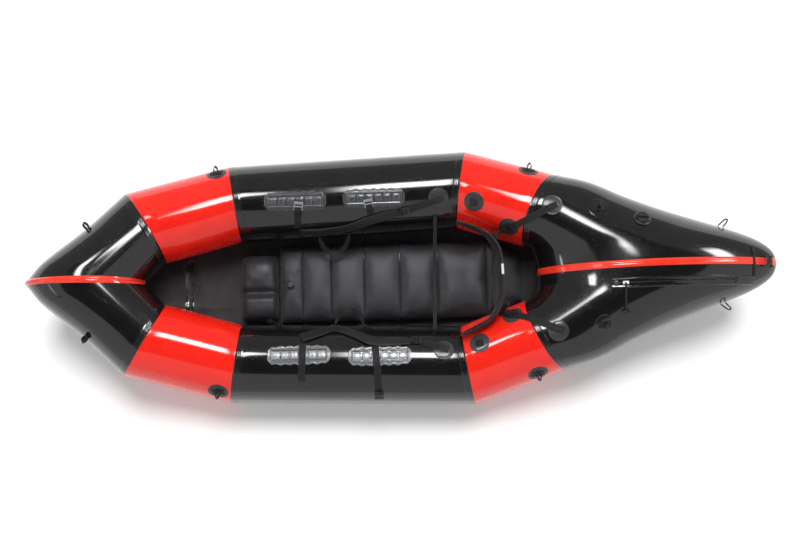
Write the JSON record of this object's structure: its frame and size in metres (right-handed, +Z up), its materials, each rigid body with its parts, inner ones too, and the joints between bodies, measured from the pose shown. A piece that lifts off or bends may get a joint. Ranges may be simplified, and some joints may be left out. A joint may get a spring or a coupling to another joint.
{
  "type": "packraft",
  "caption": "Inflated open packraft with a raised pointed bow and a long tapered stern, a seat mat, foot cushion, backrest, thigh straps, tie-down loops, valve and cargo zipper.",
  "frame": {"origin": "on the ground under the middle of the raft's overall box", "axes": "+X towards the stern, +Y to the paddler's right-hand side, seen in the picture's upper half, +Z up"},
  "size_m": [2.6208, 0.9258, 0.4166],
  "materials": {
    "black_coated_fabric": "glossy coated",
    "red_coated_fabric": "glossy coated",
    "floor_fabric": "satin coated",
    "mat_fabric": "satin coated",
    "patch_fabric": "satin coated",
    "clear_moulding": "clear moulded",
    "webbing": "woven",
    "padding": "soft matte",
    "black_plastic": "moulded",
    "pale_plastic": "moulded",
    "bright_metal": "cast"
  },
  "bodies": {
    "raft": {"bow_centre_tape": "red_coated_fabric", "bow_loop_port": "webbing", "bow_loop_starboard": "webbing", "bow_panel": "black_coated_fabric", "bow_quarter_anchor_port": "patch_fabric", "bow_quarter_anchor_starboard": "patch_fabric", "bow_quarter_port": "red_coated_fabric", "bow_quarter_starboard": "red_coated_fabric", "chain_strap_bow_port": "webbing", "chain_strap_bow_starboard": "webbing", "chain_strap_stern_port": "webbing", "chain_strap_stern_starboard": "webbing", "daisy_chain_bow_port": "clear_moulding", "daisy_chain_bow_starboard": "clear_moulding", "daisy_chain_stern_port": "clear_moulding", "daisy_chain_stern_starboard": "clear_moulding", "floor_sheet": "floor_fabric", "foot_cushion": "mat_fabric", "grab_loop_port": "webbing", "grab_loop_starboard": "webbing", "main_valve_base": "black_plastic", "mat_valve_base": "black_plastic", "mid_panel_port": "black_coated_fabric", "mid_panel_starboard": "black_coated_fabric", "rear_anchor_port": "patch_fabric", "rear_anchor_starboard": "patch_fabric", "rear_patch_port": "patch_fabric", "rear_patch_starboard": "patch_fabric", "rear_strap_port": "webbing", "rear_strap_starboard": "webbing", "seat_mat": "mat_fabric", "stern_centre_tape": "red_coated_fabric", "stern_handle": "webbing", "stern_panel": "black_coated_fabric", "stern_quarter_anchor_port": "patch_fabric", "stern_quarter_anchor_starboard": "patch_fabric", "stern_quarter_port": "red_coated_fabric", "stern_quarter_starboard": "red_coated_fabric", "stern_side_anchor_port": "patch_fabric", "stern_side_anchor_starboard": "patch_fabric", "thigh_anchor_port": "patch_fabric", "thigh_anchor_starboard": "patch_fabric", "thigh_strap_port": "webbing", "thigh_strap_starboard": "webbing", "zipper_chain": "black_plastic", "zipper_tape": "black_coated_fabric"},
    "backrest": {"backrest_pad": "padding", "backrest_piping": "webbing"},
    "slider": {"zipper_slider": "bright_metal"},
    "pull": {"zipper_pull": "black_plastic"},
    "valve_cap": {"main_valve_cap": "black_plastic"},
    "mat_knob": {"mat_valve_knob": "black_plastic"},
    "chain_lock_bow_starboard_body": {"chain_lock_bow_starboard": "pale_plastic"},
    "chain_lock_stern_port_body": {"chain_lock_stern_port": "black_plastic"},
    "chain_lock_stern_starboard_body": {"chain_lock_stern_starboard": "pale_plastic"},
    "rear_lock_port_body": {"rear_lock_port": "black_plastic"},
    "rear_lock_starboard_body": {"rear_lock_starboard": "black_plastic"},
    "thigh_lock_port_body": {"thigh_lock_port": "black_plastic"},
    "thigh_lock_starboard_body": {"thigh_lock_starboard": "black_plastic"}
  },
  "joints": [
    {"name": "chain_lock_bow_starboard_tilt", "type": "hinge", "parent": "raft", "child": "chain_lock_bow_starboard_body", "pos_m": [-0.3649, 0.24156, 0.28116], "axis": [0.992, -0.1061, -0.0687], "range_deg": [0, 40]},
    {"name": "chain_lock_stern_port_tilt", "type": "hinge", "parent": "raft", "child": "chain_lock_stern_port_body", "pos_m": [-0.09732, -0.4134, 0.24527], "axis": [-0.9994, -0.0012, -0.0357], "range_deg": [0, 40]},
    {"name": "chain_lock_stern_starboard_tilt", "type": "hinge", "parent": "raft", "child": "chain_lock_stern_starboard_body", "pos_m": [-0.11239, 0.24469, 0.27848], "axis": [0.9813, 0.1772, 0.0758], "range_deg": [0, 40]},
    {"name": "rear_lock_port_tilt", "type": "hinge", "parent": "raft", "child": "rear_lock_port_body", "pos_m": [0.36636, -0.14874, 0.27251], "axis": [-0.5186, -0.7292, 0.4464], "range_deg": [0, 40]},
    {"name": "rear_lock_starboard_tilt", "type": "hinge", "parent": "raft", "child": "rear_lock_starboard_body", "pos_m": [0.36636, 0.14874, 0.27251], "axis": [0.5186, -0.7292, -0.4464], "range_deg": [0, 40]},
    {"name": "thigh_lock_port_tilt", "type": "hinge", "parent": "raft", "child": "thigh_lock_port_body", "pos_m": [0.03085, -0.2325, 0.26387], "axis": [-0.0001, -0.8206, 0.5715], "range_deg": [0, 40]},
    {"name": "thigh_lock_starboard_tilt", "type": "hinge", "parent": "raft", "child": "thigh_lock_starboard_body", "pos_m": [0.00276, 0.22401, 0.25847], "axis": [0.2164, -0.7758, -0.5927], "range_deg": [0, 40]},
    {"name": "valve_cap_turn", "type": "hinge", "parent": "raft", "child": "valve_cap", "pos_m": [0.83325, 0.16074, 0.36538], "axis": [0.1048, 0.5379, 0.8365], "range_deg": [0, 90]},
    {"name": "mat_knob_turn", "type": "hinge", "parent": "raft", "child": "mat_knob", "pos_m": [-0.4143, -0.005, 0.0979], "axis": [0, 0, 1], "range_deg": [0, 120]},
    {"name": "backrest_tilt", "type": "hinge", "parent": "raft", "child": "backrest", "pos_m": [0.3327, 0, 0.11386], "axis": [0, 1, 0], "range_deg": [-5, 10], "deforming": ["rear_strap_starboard", "rear_strap_port"]},
    {"name": "slider_run", "type": "hinge", "parent": "raft", "child": "slider", "pos_m": [0.90818, -0.066, -0.40128], "axis": [0, 1, 0], "range_deg": [0, 26.5]},
    {"name": "pull_swing", "type": "hinge", "parent": "slider", "child": "pull", "pos_m": [0.75505, -0.06656, 0.39761], "axis": [-0.9821, 0, -0.1882], "range_deg": [0, 150]}
  ]
}
